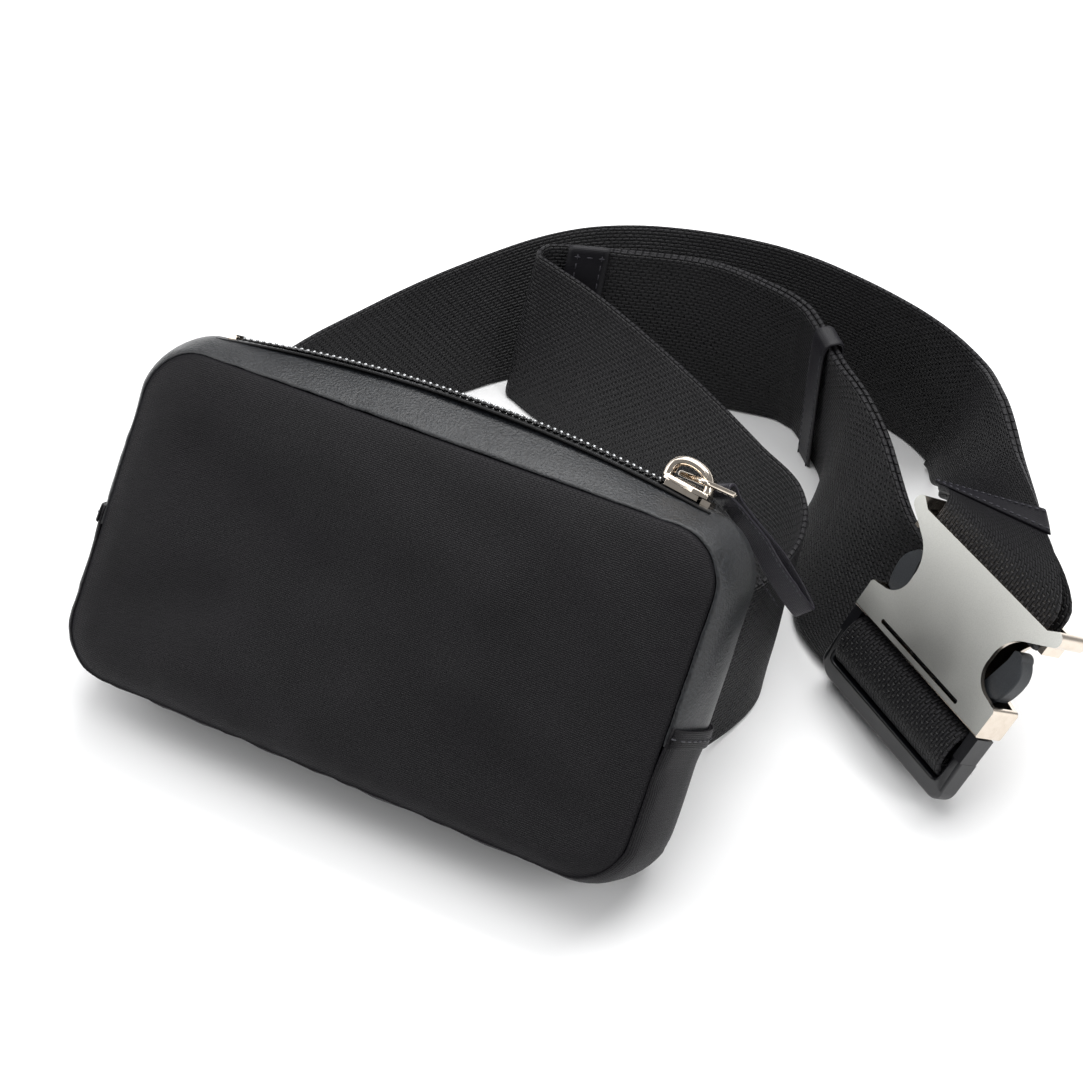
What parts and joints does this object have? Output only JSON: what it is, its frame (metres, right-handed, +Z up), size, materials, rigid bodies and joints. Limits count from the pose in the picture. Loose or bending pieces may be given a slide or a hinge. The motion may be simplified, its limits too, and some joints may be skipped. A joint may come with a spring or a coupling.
{
  "type": "waist pack",
  "caption": "Small zip-top nylon waist pack leaning back on its coiled wide webbing belt, closed by a metal side-release buckle.",
  "frame": {"origin": "middle of the small flat along the lower rear edge of the pouch, on the surface it rests on", "axes": "+Z up; X along the pouch with +X at the slider end; the front panel faces -Y and leans back"},
  "size_m": [0.2626, 0.2338, 0.0898],
  "materials": {
    "nylon_twill": "satin",
    "coated_fabric": "semi-gloss",
    "nylon_trim": "satin",
    "lining": "matte",
    "padding": "matte",
    "zip_tape": "matte",
    "zip_metal": "polished",
    "polished_zinc": "polished",
    "pull_webbing": "satin",
    "webbing": "matte",
    "shell_metal": "satin face, polished edges",
    "buckle_plastic": "satin"
  },
  "bodies": {
    "pack": {"back_padding": "padding", "back_panel": "nylon_twill", "front_lining": "lining", "front_panel": "nylon_twill", "gusset_hem_left": "nylon_trim", "gusset_hem_right": "nylon_trim", "gusset_lower": "nylon_twill", "gusset_upper_front": "coated_fabric", "gusset_upper_rear": "coated_fabric", "male_end_bar": "buckle_plastic", "male_frame": "buckle_plastic", "male_web_bar": "buckle_plastic", "strap_left_anchor": "webbing", "strap_left_back": "webbing", "strap_left_corner": "webbing", "strap_left_fold": "webbing", "strap_left_long": "webbing", "strap_left_rise": "webbing", "strap_left_side": "webbing", "strap_right_anchor": "webbing", "strap_right_back": "webbing", "strap_right_bend": "webbing", "strap_right_down": "webbing", "strap_right_first": "webbing", "strap_right_keep": "webbing", "strap_right_side": "webbing", "strap_right_turn": "webbing", "strap_right_under": "webbing", "strap_roll": "webbing", "strap_tail_back": "webbing", "strap_tail_down": "webbing", "strap_tail_keep": "webbing", "strap_tail_tab": "nylon_trim", "strap_tail_under": "webbing", "zip_stops": "zip_metal", "zip_tape_front": "zip_tape", "zip_tape_rear": "zip_tape", "zip_teeth_front": "zip_metal", "zip_teeth_rear": "zip_metal"},
    "slider": {"slider_body": "polished_zinc", "slider_bridge": "polished_zinc"},
    "pull_ring": {"pull_ring": "polished_zinc"},
    "pull_tape": {"pull_tape_head": "pull_webbing", "pull_tape_loop": "pull_webbing"},
    "female_end": {"buckle_shell": "shell_metal", "buckle_shell_bar": "shell_metal", "strap_left_loop": "webbing", "strap_left_neck": "webbing", "strap_left_fold_neck": "webbing", "strap_left_binding": "nylon_trim"},
    "prong_left": {"prong_left": "buckle_plastic"},
    "prong_right": {"prong_right": "buckle_plastic"},
    "keeper": {"keeper_loop": "nylon_trim"}
  },
  "joints": [
    {"name": "zip_run", "type": "hinge", "parent": "pack", "child": "slider", "pos_m": [0, -0.25507, -0.23315], "axis": [0, 0.7071, -0.7071], "range_deg": [-16.6, 0]},
    {"name": "ring_swing", "type": "hinge", "parent": "slider", "child": "pull_ring", "pos_m": [0.06597, 0.06341, 0.08533], "axis": [-0.766, 0.4545, -0.4545], "range_deg": [-130, 0]},
    {"name": "tape_swing", "type": "hinge", "parent": "pull_ring", "child": "pull_tape", "pos_m": [0.07366, 0.06914, 0.07811], "axis": [-0.766, 0.4545, -0.4545], "range_deg": [-60, 0]},
    {"name": "buckle_release", "type": "slide", "parent": "pack", "child": "female_end", "axis": [0.29, 0.5035, 0.8139], "range_m": [0, 0.03], "deforming": ["strap_left_rise", "strap_left_fold"]},
    {"name": "press_left", "type": "hinge", "parent": "pack", "child": "prong_left", "pos_m": [0.11862, 0.08815, 0.02078], "axis": [-0.5219, -0.6296, 0.5755], "range_deg": [-13, 0]},
    {"name": "press_right", "type": "hinge", "parent": "pack", "child": "prong_right", "pos_m": [0.14669, 0.06745, 0.02359], "axis": [-0.5219, -0.6296, 0.5755], "range_deg": [0, 13]},
    {"name": "keeper_shift", "type": "slide", "parent": "pack", "child": "keeper", "axis": [0.6823, -0.7311, 0], "range_m": [-0.004, 0.004]}
  ],
  "couplings": [
    {"joint": "press_left", "follows": "buckle_release", "rad_per_m": -7.5555},
    {"joint": "press_right", "follows": "buckle_release", "rad_per_m": 7.5555}
  ]
}
